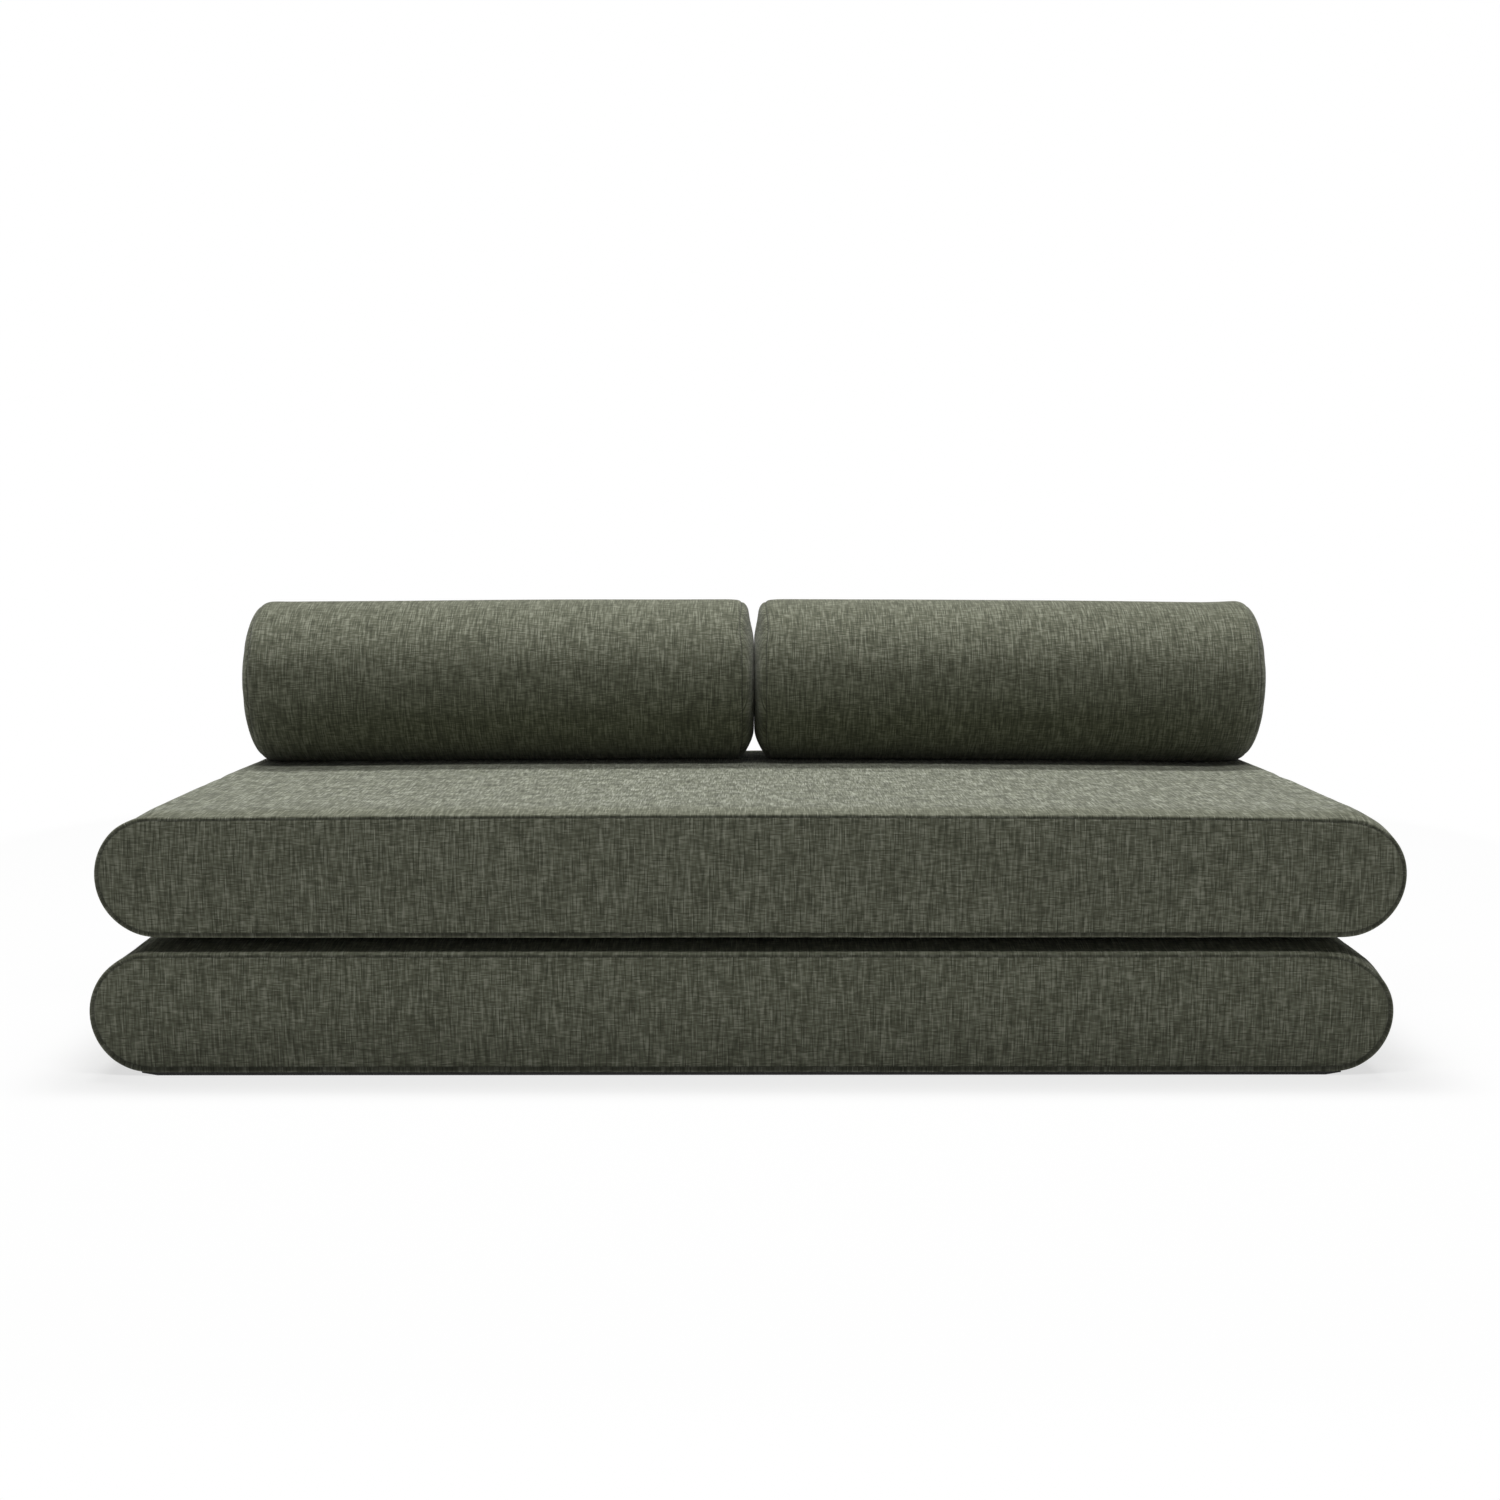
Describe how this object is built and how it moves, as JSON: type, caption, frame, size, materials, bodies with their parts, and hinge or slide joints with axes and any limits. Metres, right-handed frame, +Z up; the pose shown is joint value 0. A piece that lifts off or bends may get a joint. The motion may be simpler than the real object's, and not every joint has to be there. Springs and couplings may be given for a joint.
{
  "type": "sofa bed",
  "caption": "Fold-out sofa bed: stacked foam mattresses with round ends in woven fabric, joined along the rear edge, with loose cylindrical bolsters as the backrest.",
  "frame": {"origin": "on the floor, under the middle of the folded sofa's footprint", "axes": "+X to the sitter's left as seen from the front (image right), +Y to the rear, +Z up; the front faces -Y"},
  "size_m": [2.033, 0.903, 0.7138],
  "materials": {
    "chenille": "matte",
    "foam": "matte",
    "wadding": "matte",
    "zip_tape": "matte",
    "zip_coil": "satin",
    "zip_metal": "satin",
    "grip_sheet": "matte",
    "hinge_webbing": "matte"
  },
  "bodies": {
    "base": {"base_foam_core": "foam", "base_comfort_foam": "foam", "base_wadding": "wadding", "base_cover_wrap": "chenille", "base_front_panel": "chenille", "base_rear_panel": "chenille", "base_zip_tape": "zip_tape", "base_zip_coil": "zip_coil", "base_zip_stops": "zip_metal", "base_grip_sheet": "grip_sheet", "hinge_strip_lower": "hinge_webbing"},
    "seat": {"seat_comfort_under": "foam", "seat_foam_core": "foam", "seat_comfort_top": "foam", "seat_wadding": "wadding", "seat_cover_wrap": "chenille", "seat_front_panel": "chenille", "seat_rear_panel": "chenille", "seat_zip_tape": "zip_tape", "seat_zip_coil": "zip_coil", "seat_zip_stops": "zip_metal", "hinge_strip_upper": "hinge_webbing"},
    "left_bolster": {"bolster_left_foam_core": "foam", "bolster_left_wadding": "wadding", "bolster_left_cover": "chenille", "bolster_left_outer_end": "chenille", "bolster_left_inner_end": "chenille", "bolster_left_zip_tape": "zip_tape", "bolster_left_zip_coil": "zip_coil", "bolster_left_zip_stops": "zip_metal"},
    "right_bolster": {"bolster_right_foam_core": "foam", "bolster_right_wadding": "wadding", "bolster_right_cover": "chenille", "bolster_right_outer_end": "chenille", "bolster_right_inner_end": "chenille", "bolster_right_zip_tape": "zip_tape", "bolster_right_zip_coil": "zip_coil", "bolster_right_zip_stops": "zip_metal"},
    "base_slider": {"base_zip_slider": "zip_metal"},
    "seat_slider": {"seat_zip_slider": "zip_metal"},
    "left_bolster_slider": {"bolster_left_zip_slider": "zip_metal"},
    "right_bolster_slider": {"bolster_right_zip_slider": "zip_metal"}
  },
  "joints": [
    {"name": "bed_fold", "type": "hinge", "parent": "base", "child": "seat", "pos_m": [0, 0.455, 0.2057], "axis": [-1, 0, 0], "range_deg": [0, 180]},
    {"name": "left_bolster_carry", "type": "hinge", "parent": "seat", "child": "left_bolster", "pos_m": [0, -0.1575, 0.41088], "axis": [-1, 0, 0], "range_deg": [-180, 0]},
    {"name": "right_bolster_carry", "type": "hinge", "parent": "seat", "child": "right_bolster", "pos_m": [0, -0.1575, 0.41088], "axis": [-1, 0, 0], "range_deg": [-180, 0]},
    {"name": "base_zip", "type": "slide", "parent": "base", "child": "base_slider", "axis": [-1, 0, 0], "range_m": [0, 1.6264]},
    {"name": "seat_zip", "type": "slide", "parent": "seat", "child": "seat_slider", "axis": [-1, 0, 0], "range_m": [0, 1.6264]},
    {"name": "left_bolster_zip", "type": "slide", "parent": "left_bolster", "child": "left_bolster_slider", "axis": [-1, 0, 0], "range_m": [0, 0.7864]},
    {"name": "right_bolster_zip", "type": "slide", "parent": "right_bolster", "child": "right_bolster_slider", "axis": [-1, 0, 0], "range_m": [0, 0.7864]}
  ],
  "couplings": [
    {"joint": "left_bolster_carry", "follows": "bed_fold", "ratio": -1},
    {"joint": "right_bolster_carry", "follows": "bed_fold", "ratio": -1}
  ]
}
